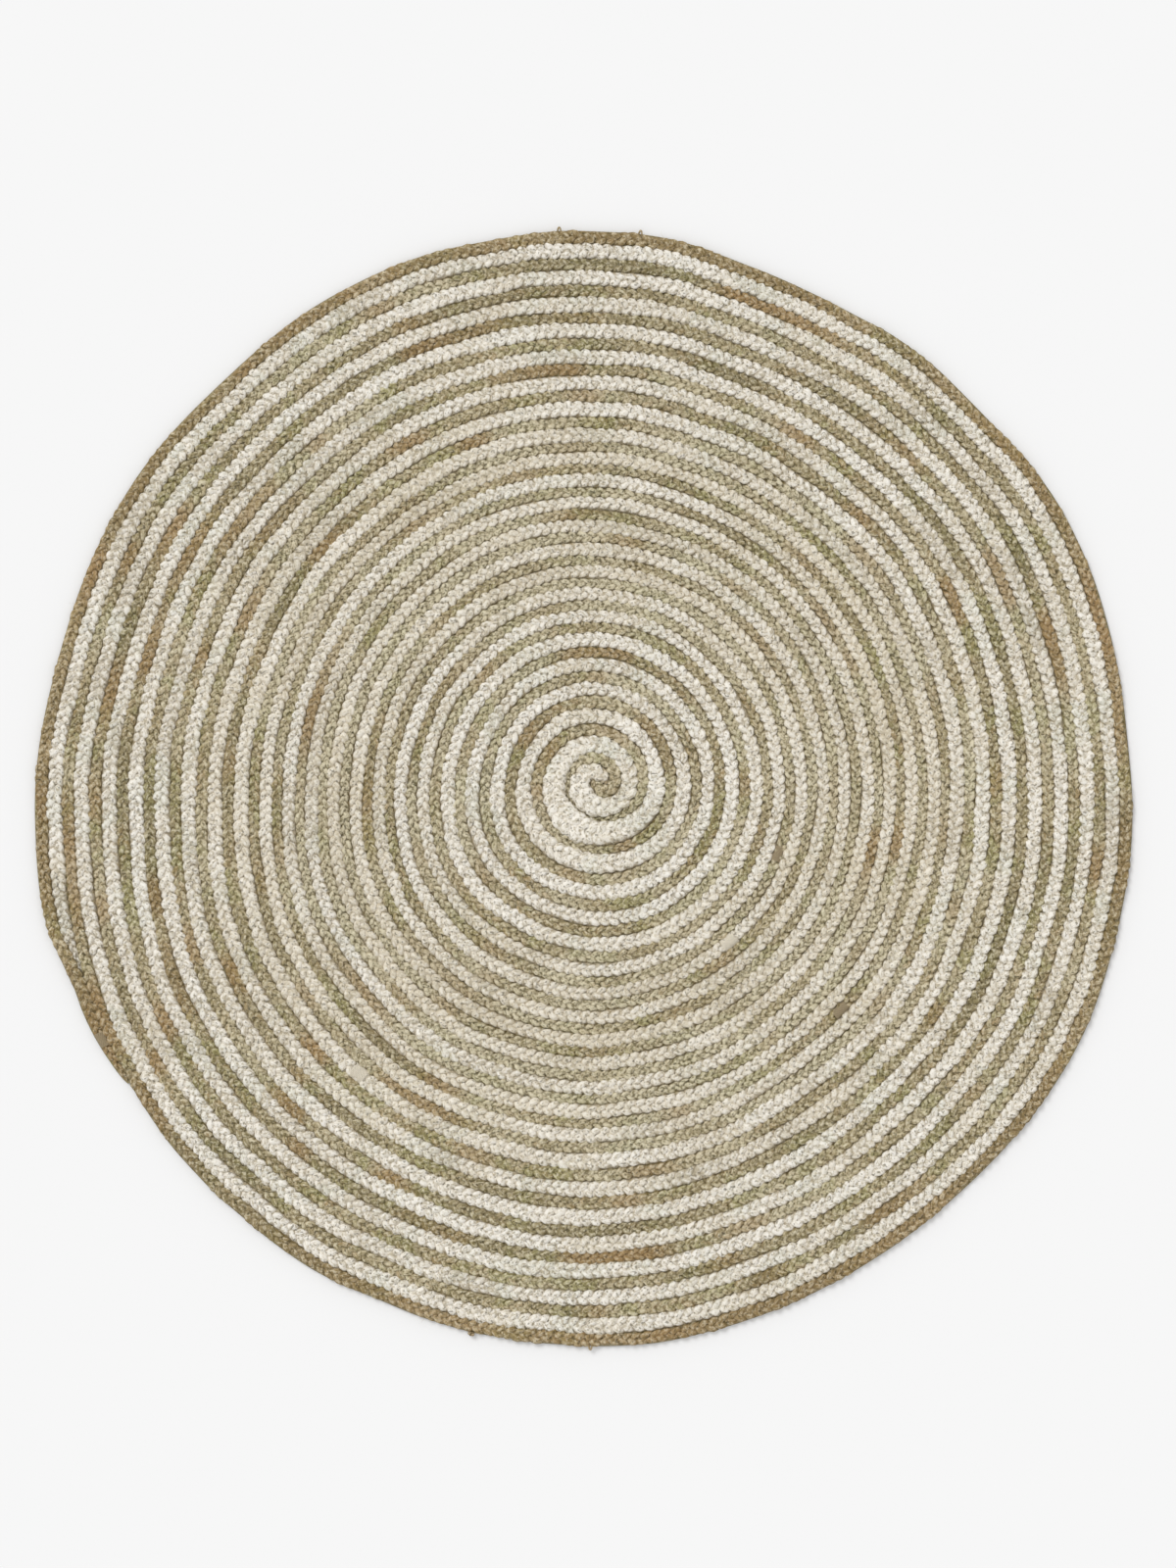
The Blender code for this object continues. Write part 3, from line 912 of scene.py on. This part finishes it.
class RugSettings(bpy.types.PropertyGroup):
    """Sizes and colours of the rug's plaits, thread and fibres."""

    repeat: FloatProperty(
        name="Plait repeat", description="Length in which a strand comes back to the same side",
        default=0.0265, min=0.015, max=0.05, unit="LENGTH",
    )
    strand_width: FloatProperty(
        name="Strand width", description="Width of a strand as a share of the plait's width",
        default=0.44, min=0.3, max=0.6, subtype="FACTOR",
    )
    unevenness: FloatProperty(
        name="Unevenness", description="How far strands stray from a perfect plait",
        default=0.55, min=0.0, max=1.0, subtype="FACTOR",
    )
    lumps: FloatProperty(
        name="Lumps", description="Height of the lumps that fibre clumps make on a strand",
        default=0.0015, min=0.0, max=0.003, unit="LENGTH",
    )
    step: FloatProperty(
        name="Path step", description="Distance between cross-sections of a strand",
        default=0.00245, min=0.001, max=0.01, unit="LENGTH",
    )
    white: colour_property("White fibre", "Colour of the bleached plait", (0.79, 0.735, 0.63))
    white_pale: colour_property(
        "White fibre, pale", "Colour of the palest bleached fibres", (0.91, 0.875, 0.805),
    )
    white_dark: colour_property(
        "White fibre, dark", "Colour of the darkest bleached fibres", (0.40, 0.34, 0.23),
    )
    white_warm: colour_property(
        "White fibre, cream", "Colour of the creamy stretches", (0.72, 0.645, 0.50),
    )
    white_cool: colour_property(
        "White fibre, cool", "Colour of the cooler bleached stretches", (0.68, 0.68, 0.58),
    )
    jute: colour_property("Jute fibre", "Colour of the natural plait", (0.45, 0.37, 0.22))
    jute_pale: colour_property(
        "Jute fibre, pale", "Colour of the palest natural fibres", (0.73, 0.67, 0.50),
    )
    jute_dark: colour_property(
        "Jute fibre, dark", "Colour of the darkest natural fibres", (0.155, 0.125, 0.052),
    )
    jute_warm: colour_property(
        "Jute fibre, brown", "Colour of the browner stretches", (0.365, 0.225, 0.095),
    )
    jute_cool: colour_property(
        "Jute fibre, olive", "Colour of the greener stretches", (0.33, 0.315, 0.115),
    )
    thread: colour_property("Thread", "Colour of the sewing thread", (0.41, 0.32, 0.19))
    thread_radius: FloatProperty(
        name="Thread radius", description="Radius of the sewing thread",
        default=0.00055, min=0.0002, max=0.002, unit="LENGTH",
    )
    fuzz: IntProperty(
        name="Loose fibres", description="Loose fibres on each square metre of strand surface",
        default=1600, min=0, max=20000,
    )
    fuzz_length: FloatProperty(
        name="Fibre length", description="Length of a loose fibre",
        default=0.0075, min=0.001, max=0.03, unit="LENGTH",
    )


class RugStageSettings(bpy.types.PropertyGroup):
    """Floor, lights and camera."""

    floor: colour_property("Floor", "Colour of the floor", (0.84, 0.84, 0.84))
    sun: FloatProperty(
        name="Key light", description="Strength of the soft key light", default=1.30, min=0.0,
    )
    fill: FloatProperty(
        name="Fill light", description="Strength of the light from all round",
        default=0.80, min=0.0,
    )
    camera_height: FloatProperty(
        name="Camera height", description="Height of the camera over the floor",
        default=3.348, min=0.5, unit="LENGTH",
    )
    camera_x: FloatProperty(
        name="Camera X", description="Sideways place of the camera", default=0.0027, unit="LENGTH",
    )
    camera_y: FloatProperty(
        name="Camera Y", description="Place of the camera up the frame",
        default=0.0044, unit="LENGTH",
    )


# Stretches of another shade: (turn, half length, strength).
BROWN_PLACES = (
    (1.21, 0.022, 0.7), (1.52, 0.009, 0.8), (1.81, 0.011, 0.6), (2.41, 0.012, 0.6),
    (2.71, 0.014, 0.5), (3.25, 0.010, 0.5), (4.25, 0.035, 0.6), (11.07, 0.014, 0.7),
    (12.79, 0.010, 0.7), (13.66, 0.010, 0.6), (16.08, 0.013, 0.8), (16.56, 0.019, 0.8),
    (17.36, 0.010, 0.6), (17.54, 0.020, 0.8), (18.07, 0.016, 0.9), (18.58, 0.018, 0.9),
    (19.54, 0.013, 0.8), (19.59, 0.013, 0.8), (20.57, 0.040, 0.9), (20.60, 0.030, 0.8),
    (21.05, 0.060, 1.0), (21.10, 0.012, 0.7), (21.31, 0.011, 0.6), (21.53, 0.025, 0.7),
    (21.575, 0.045, 1.0),
)
BRIGHT_PLACES = ((15.14, 0.04, 0.4), (16.14, 0.05, 0.6), (17.14, 0.06, 0.9), (18.14, 0.05, 0.5))
FADED_PLACES = ((21.545, 0.055, 0.8),)
DARK_PLACES = ((20.615, 0.065, 1.0), (21.56, 0.05, 0.7))

FIBRE = {}


def fibre_finish(kind):
    """The colour's material, made once."""
    if kind not in FIBRE:
        rug = bpy.context.scene.rug_settings
        if kind == WHITE:
            colours = (rug.white, rug.white_pale, rug.white_dark, rug.white_warm, rug.white_cool)
        elif kind == JUTE:
            colours = (rug.jute, rug.jute_pale, rug.jute_dark, rug.jute_warm, rug.jute_cool)
        if kind == "thread":
            FIBRE[kind] = thread_material(tuple(rug.thread))
        else:
            FIBRE[kind] = fibre_material(f"{kind}_plait_fibre", *map(tuple, colours), SHEEN)
    return FIBRE[kind]


def rounded_end(distance):
    share = np.clip(1 - distance / END_ROUND, 0.0, 0.97)
    return np.sqrt(1 - share * share)


def neck(distance):
    """How far a plait is drawn in under the whipping this far from it."""
    share = np.clip((distance - BINDING_LENGTH / 2) / 0.004, 0.0, 1.0)
    return 1 - JOIN_NECK * (1 - share * share * (3 - 2 * share))


def make_plait(kind):
    """The nine strands of one colour, three to each length, their packing and loose fibres."""
    rug = bpy.context.scene.rug_settings
    joins = WHITE_JOINS if kind == WHITE else JUTE_JOINS
    whole = PLAITS[kind]["along"]
    cuts = [0.0, *(distance_at(kind, turn) for turn in joins), whole[-1]]
    squeezed = [distance_at(kind, turn) for turn in joins]
    if kind == JUTE:
        squeezed.append(whole[-1] - TAIL_BINDING_BACK)
    strand, packing, fuzz = strand_tree(), packing_tree(), fuzz_tree()
    finish = fibre_finish(kind)
    seed = 1.0 if kind == WHITE else 31.0
    tall = WHITE_HEIGHT if kind == WHITE else JUTE_HEIGHT
    for index, length in enumerate(LENGTH_NAMES):
        low = cuts[index] + (SEAM_GAP / 2 if index else 0.0)
        high = cuts[index + 1] - (SEAM_GAP / 2 if index < 2 else 0.0)
        rows = length_between(kind, low, high, rug.step)
        along = rows["along"]
        size = np.ones(len(along))
        for place in squeezed:
            size *= neck(np.abs(along - place))
        if index == 0:
            size *= rounded_end(along - low)
        if index == 2:
            size *= rounded_end(high - along)
        uneven = WIDTH_UNEVEN * patchy(along, 0.032, int(seed) + 5)
        uneven += SLOW_UNEVEN * patchy(along, 0.15, int(seed) + 6)
        wide = np.minimum(1.0, rows["half"] / PRESSED_FROM)
        stray = STRAY * patchy(along, 0.024, int(seed) + 7) * wide
        rows["point"] = rows["point"] + rows["across"] * stray[:, None]
        rows["half"] = (rows["half"] * (1 + uneven) + PRESSED * wide) * size
        rows["height"] *= size
        rows["tone"], rows["warm"] = tones(kind, rows)
        point = rows.pop("point")
        source = path_mesh(f"{kind}_{length}_path", point, rows)
        strand_half = rug.strand_width * float(np.median(rows["half"]))
        made = []
        for number in range(3):
            numbers = {
                "Strand": float(number),
                "Repeat": rug.repeat,
                "Strand Width": rug.strand_width,
                "Strand Thickness": STRAND_THICKNESS,
                "Flatness": STRAND_THICKNESS * tall / strand_half,
                "Unevenness": rug.unevenness,
                "Lumps": rug.lumps,
                "Seed": seed,
            }
            piece = grow(strand, source, f"{kind}_{length}_strand_{number + 1}", numbers, finish)
            made.append(settle(piece, f"{kind}_braid", f"{kind}_braid_{length}"))
        drop(source)
        rows = length_between(kind, low, high, PACKING_STEP)
        source = path_mesh(f"{kind}_{length}_packing_path", rows.pop("point"), rows)
        numbers = {
            "Overlap": PACKING_OVERLAP,
            "Flatness": PACKING_FLATNESS,
            "Lift": PACKING_LIFT,
        }
        piece = grow(packing, source, f"{kind}_{length}_packing", numbers, finish)
        drop(source)
        settle(piece, f"{kind}_braid", f"{kind}_braid_{length}")
        hairs = fuzz_source(made, f"{kind}_{length}_hair_base")
        numbers = {
            "Density": float(rug.fuzz),
            "Length": rug.fuzz_length,
            "Radius": FIBRE_RADIUS / rug.fuzz_length,
            "Seed": seed + index,
        }
        piece = grow(fuzz, hairs, f"{kind}_{length}_loose_fibres", numbers, finish)
        drop(hairs)
        settle(piece, f"{kind}_braid", f"{kind}_braid_{length}")


def fuzz_source(pieces, name):
    """One mesh of several pieces, for fibres to be scattered over."""
    points, faces, total = [], [], 0
    for piece in pieces:
        data = piece.data
        co = np.empty(len(data.vertices) * 3)
        data.vertices.foreach_get("co", co)
        quads = np.array([list(p.vertices) for p in data.polygons if len(p.vertices) == 4])
        points.append(co.reshape(-1, 3))
        faces.append(quads + total)
        total += len(data.vertices)
    data = bpy.data.meshes.new(name)
    data.from_pydata(np.concatenate(points).tolist(), [], np.concatenate(faces).tolist())
    source = bpy.data.objects.new(name, data)
    bpy.context.scene.collection.objects.link(source)
    return source


def at_places(rows, places):
    """The strongest of the given stretches, (turn, half length, strength), at each point."""
    found = np.zeros(len(rows["along"]))
    for turn, reach, strength in places:
        middle = np.interp(turn, rows["turn"], rows["along"], left=-9.0, right=-9.0)
        found = np.maximum(found, strength * np.exp(-(((rows["along"] - middle) / reach) ** 4)))
    return found


def tones(kind, rows):
    """(paleness from -1 to 1, brownness from 0 to 1) along a length of plait."""
    along, turn = rows["along"], rows["turn"]
    seed = 11 if kind == WHITE else 23
    tone = 0.50 * patchy(along, 0.25, seed) + 0.75 * patchy(along, 0.045, seed + 1)
    warm = np.clip(patchy(along, 0.055, seed + 2) * 2.0 - 0.9, 0.0, 1.0)
    middle = np.clip(1.7 - np.abs(turn - CREAM_MIDDLE) / CREAM_REACH, 0.0, 1.0)
    cream = middle * np.clip(0.70 + 0.70 * patchy(along, 0.40, seed + 3), 0.0, 1.0)
    inner = np.clip((INNER_UP_TO - turn) / 2.0, 0.0, 1.0)
    if kind == WHITE:
        tone = tone + 0.25 - 0.15 * cream + 0.40 * inner + at_places(rows, BRIGHT_PLACES)
        creamy = warm * 0.4 + 0.75 * cream
        return tone - 1.2 * at_places(rows, FADED_PLACES), creamy
    rim = np.clip((turn - RIM_FROM) / 0.1, 0.0, 1.0) * (0.7 + 0.5 * patchy(along, 0.07, seed + 4))
    warm = warm * (1 - 0.6 * cream) * (1 - 0.5 * inner)
    brown = np.maximum(warm, at_places(rows, BROWN_PLACES))
    brown = np.clip(np.maximum(brown, 0.65 * rim), 0.0, 1.0)
    outer = np.clip((turn - OUTER_FROM) / 1.5, 0.0, 1.0)
    tone = tone - 0.05 + 0.90 * cream + 0.50 * inner - 0.18 * outer - 0.35 * rim
    return tone - at_places(rows, DARK_PLACES), brown


class RUG_OT_white_plait(bpy.types.Operator):
    """Builds the strands and loose fibres of the bleached plait"""

    bl_idname = "rug.white_plait"
    bl_label = "White Plait"

    def execute(self, context):
        make_plait(WHITE)
        return {"FINISHED"}


class RUG_OT_jute_plait(bpy.types.Operator):
    """Builds the strands and loose fibres of the natural plait"""

    bl_idname = "rug.jute_plait"
    bl_label = "Jute Plait"

    def execute(self, context):
        make_plait(JUTE)
        return {"FINISHED"}


class RUG_OT_joins(bpy.types.Operator):
    """Whips thread round each join of a plait and round the tail"""

    bl_idname = "rug.joins"
    bl_label = "Joins"

    def execute(self, context):
        rug = context.scene.rug_settings
        tree = whipping_tree()
        rows = [(f"{WHITE}_join_binding_{i + 1}", WHITE, t) for i, t in enumerate(WHITE_JOINS)]
        rows += [(f"{JUTE}_join_binding_{i + 1}", JUTE, t) for i, t in enumerate(JUTE_JOINS)]
        places = [(node, kind, distance_at(kind, turn)) for node, kind, turn in rows]
        places.append(("tail_binding", JUTE, PLAITS[JUTE]["along"][-1] - TAIL_BINDING_BACK))
        for node, kind, place in places:
            low, high = place - BINDING_LENGTH / 2, place + BINDING_LENGTH / 2
            rows = length_between(kind, low, high, rug.thread_radius * 2 / 18)
            rows["half"] *= 1 - JOIN_NECK / 2
            rows["tone"] = np.full(len(rows["along"]), float(kind == WHITE))
            source = path_mesh(f"{node}_path", rows.pop("point"), rows)
            numbers = {
                "Turn": rug.thread_radius * 2.05,
                "Stand Off": rug.thread_radius * 0.4,
                "Radius": rug.thread_radius,
            }
            piece = grow(tree, source, f"{node}_whipping", numbers, fibre_finish("thread"))
            drop(source)
            settle(piece, "sewing_thread", node)
        return {"FINISHED"}


class RUG_OT_seam(bpy.types.Operator):
    """Sews every turn to the one inside it, on the underside"""

    bl_idname = "rug.seam"
    bl_label = "Seam"

    def execute(self, context):
        rug = context.scene.rug_settings
        tree = seam_tree()
        cuts = (SEAM_START, *SEAM_JOINS, OUTER_TURN)
        for index, length in enumerate(LENGTH_NAMES):
            turn = np.linspace(cuts[index], cuts[index + 1] - 0.002, 20000)
            radius = edge(turn) - SEAM_GAP / 2
            ray = np.stack([np.cos(math.tau * turn), np.sin(math.tau * turn)], 1)
            points, along, _ = even_path(wandered(ray * radius[:, None]), (), SEAM_STEP)
            rows = {"across": outward(points), "along": along}
            source = path_mesh(f"seam_{length}_path", points, rows)
            numbers = {
                "Stitch": SEAM_STITCH,
                "Throw": SEAM_THROW,
                "Low": SEAM_LOW,
                "Climb": SEAM_CLIMB,
                "Radius": rug.thread_radius,
            }
            piece = grow(tree, source, f"seam_{length}_stitches", numbers, fibre_finish("thread"))
            drop(source)
            settle(piece, "sewing_thread", f"seam_thread_{length}")
        return {"FINISHED"}


class RUG_OT_centre_tack(bpy.types.Operator):
    """Winds the thread that holds the two starts together through the eye"""

    bl_idname = "rug.centre_tack"
    bl_label = "Centre Tack"

    def execute(self, context):
        low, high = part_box("centre_tack")
        radius = (high.x - low.x) / 2 - TACK_MARGIN
        turn = np.linspace(0, TACK_TURNS, 260)
        swing = np.cos(math.tau * turn)
        points = np.stack([
            (low.x + high.x) / 2 + radius * swing * np.cos(turn * 0.9),
            (low.y + high.y) / 2 + radius * swing * np.sin(turn * 0.9),
            (low.z + high.z) / 2 + ((high.z - low.z) / 2 - 0.0006) * np.sin(math.tau * turn),
        ], 1)
        rows = {"along": np.linspace(0, 0.1, len(points)), "plump": np.ones(len(points))}
        source = path_mesh("tack_path", points, rows)
        rug = context.scene.rug_settings
        piece = grow(
            yarn_tree(), source, "centre_tack_stitches", {"Radius": rug.thread_radius},
            fibre_finish("thread"),
        )
        drop(source)
        settle(piece, "sewing_thread", "centre_tack")
        return {"FINISHED"}


def lay_yarn(name, laid, radius, *nodes):
    """A bit of loose jute yarn laid along these points."""
    rows = {"along": np.linspace(0, 0.06, len(laid)), "plump": np.ones(len(laid))}
    for key, value in LOOSE_YARN:
        rows[key] = np.full(len(laid), value)
    source = path_mesh(f"{name}_path", laid, rows)
    piece = grow(yarn_tree(), source, name, {"Radius": radius}, fibre_finish(JUTE))
    drop(source)
    settle(piece, "jute_braid", *nodes)


class RUG_OT_rim_knot(bpy.types.Operator):
    """Ties the knotted yarn end that stands out of the rim"""

    bl_idname = "rug.rim_knot"
    bl_label = "Rim Knot"

    def execute(self, context):
        low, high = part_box("rim_knot")
        radius = (high.x - low.x) / 2
        rim = distance_at(JUTE, KNOT_TURN)
        rows = length_between(JUTE, rim, rim + 0.01, 0.002)
        beside = rows["point"][0] + rows["across"][0] * (rows["half"][0] + radius * 0.8)
        middle = np.array([*beside, (low.z + high.z) / 2])
        turn = np.linspace(0, math.tau, 90)
        wide = 2 + np.cos(3 * turn)
        points = np.stack([
            wide * np.cos(2 * turn), wide * np.sin(2 * turn), 1.1 * np.sin(3 * turn),
        ], 1) * (radius * 0.72 / 3)
        inward = -middle / np.linalg.norm(middle)
        side = np.array([-inward[1], inward[0], 0.0])
        up = np.array([0, 0, 1.0])
        turned = points[:, :1] * side + points[:, 1:2] * up + points[:, 2:] * inward
        laid = turned + middle
        laid[:, 2] = np.maximum(laid[:, 2], YARN_LOWEST)
        lay_yarn("rim_knot_yarn", laid, radius * KNOT_YARN_SHARE, "rim_knot")
        return {"FINISHED"}


class RUG_OT_rim_tufts(bpy.types.Operator):
    """Pulls small loops of yarn out of the rim"""

    bl_idname = "rug.rim_tufts"
    bl_label = "Rim Tufts"

    def execute(self, context):
        arch = np.linspace(0, math.pi, 16)
        for index, turn in enumerate(TUFT_TURNS):
            place = distance_at(JUTE, turn)
            rows = length_between(JUTE, place, place + 0.01, 0.002)
            out, half = rows["across"][0], rows["half"][0]
            side = np.array([-out[1], out[0]])
            foot = rows["point"][0] + out * half * 0.6
            flat = foot + np.outer(np.sin(arch) * (half * 0.4 + TUFT_REACH), out)
            flat += np.outer(np.cos(arch) * TUFT_HALF_WIDTH, side)
            laid = np.column_stack([flat, TUFT_HEIGHT + TUFT_RISE * np.sin(arch)])
            lay_yarn(f"rim_tuft_{index + 1}", laid, TUFT_YARN_RADIUS)
        return {"FINISHED"}


class RUG_OT_stage(bpy.types.Operator):
    """Sets the floor, the lights and the camera over the rug"""

    bl_idname = "rug.stage"
    bl_label = "Stage"

    def execute(self, context):
        scene = context.scene
        stage = scene.rug_stage
        data = bpy.data.meshes.new("floor")
        half = FLOOR_HALF
        corners = [(-half, -half, 0), (half, -half, 0), (half, half, 0), (-half, half, 0)]
        data.from_pydata(corners, [], [(0, 1, 2, 3)])
        data.materials.append(floor_material(tuple(stage.floor)))
        floor = bpy.data.objects.new("floor", data)
        scene.collection.objects.link(floor)
        sun = bpy.data.objects.new("key_light", bpy.data.lights.new("key_light", "SUN"))
        sun.data.energy = stage.sun
        sun.data.angle = math.radians(SUN_SPREAD)
        sun.rotation_euler = (*map(math.radians, SUN_TILT), 0)
        scene.collection.objects.link(sun)
        world = bpy.data.worlds.new("studio")
        world.use_nodes = True
        background = world.node_tree.nodes["Background"]
        background.inputs["Color"].default_value = (1.0, 1.0, 1.0, 1.0)
        background.inputs["Strength"].default_value = stage.fill
        scene.world = world
        camera = bpy.data.objects.new("camera", bpy.data.cameras.new("camera"))
        camera.data.lens = LENS
        camera.data.sensor_width = SENSOR
        camera.location = (stage.camera_x, stage.camera_y, stage.camera_height)
        scene.collection.objects.link(camera)
        scene.camera = camera
        scene.view_settings.view_transform = "Standard"
        return {"FINISHED"}


class RUG_PT_panel(bpy.types.Panel):
    """Everything that the rug is made of, in the order it is made"""

    bl_idname = "RUG_PT_panel"
    bl_label = "Round Braided Rug"
    bl_space_type = "VIEW_3D"
    bl_region_type = "UI"
    bl_category = "Rug"

    def draw(self, context):
        for settings in (context.scene.rug_settings, context.scene.rug_stage):
            box = self.layout.box()
            for name in settings.bl_rna.properties.keys():
                if name not in ("rna_type", "name"):
                    box.prop(settings, name)
        for operator in OPERATORS:
            self.layout.operator(operator.bl_idname)


OPERATORS = (
    RUG_OT_stage,
    RUG_OT_white_plait,
    RUG_OT_jute_plait,
    RUG_OT_joins,
    RUG_OT_seam,
    RUG_OT_centre_tack,
    RUG_OT_rim_knot,
    RUG_OT_rim_tufts,
)
CLASSES = (RugSettings, RugStageSettings, *OPERATORS, RUG_PT_panel)


def register():
    for cls in CLASSES:
        bpy.utils.register_class(cls)
    bpy.types.Scene.rug_settings = PointerProperty(type=RugSettings)
    bpy.types.Scene.rug_stage = PointerProperty(type=RugStageSettings)


def unregister():
    del bpy.types.Scene.rug_stage
    del bpy.types.Scene.rug_settings
    for cls in reversed(CLASSES):
        bpy.utils.unregister_class(cls)


def main():
    register()
    bpy.ops.rug.stage()
    bpy.ops.rug.white_plait()
    bpy.ops.rug.jute_plait()
    bpy.ops.rug.joins()
    bpy.ops.rug.seam()
    bpy.ops.rug.centre_tack()
    bpy.ops.rug.rim_knot()
    bpy.ops.rug.rim_tufts()


if __name__ == "__main__":
    main()
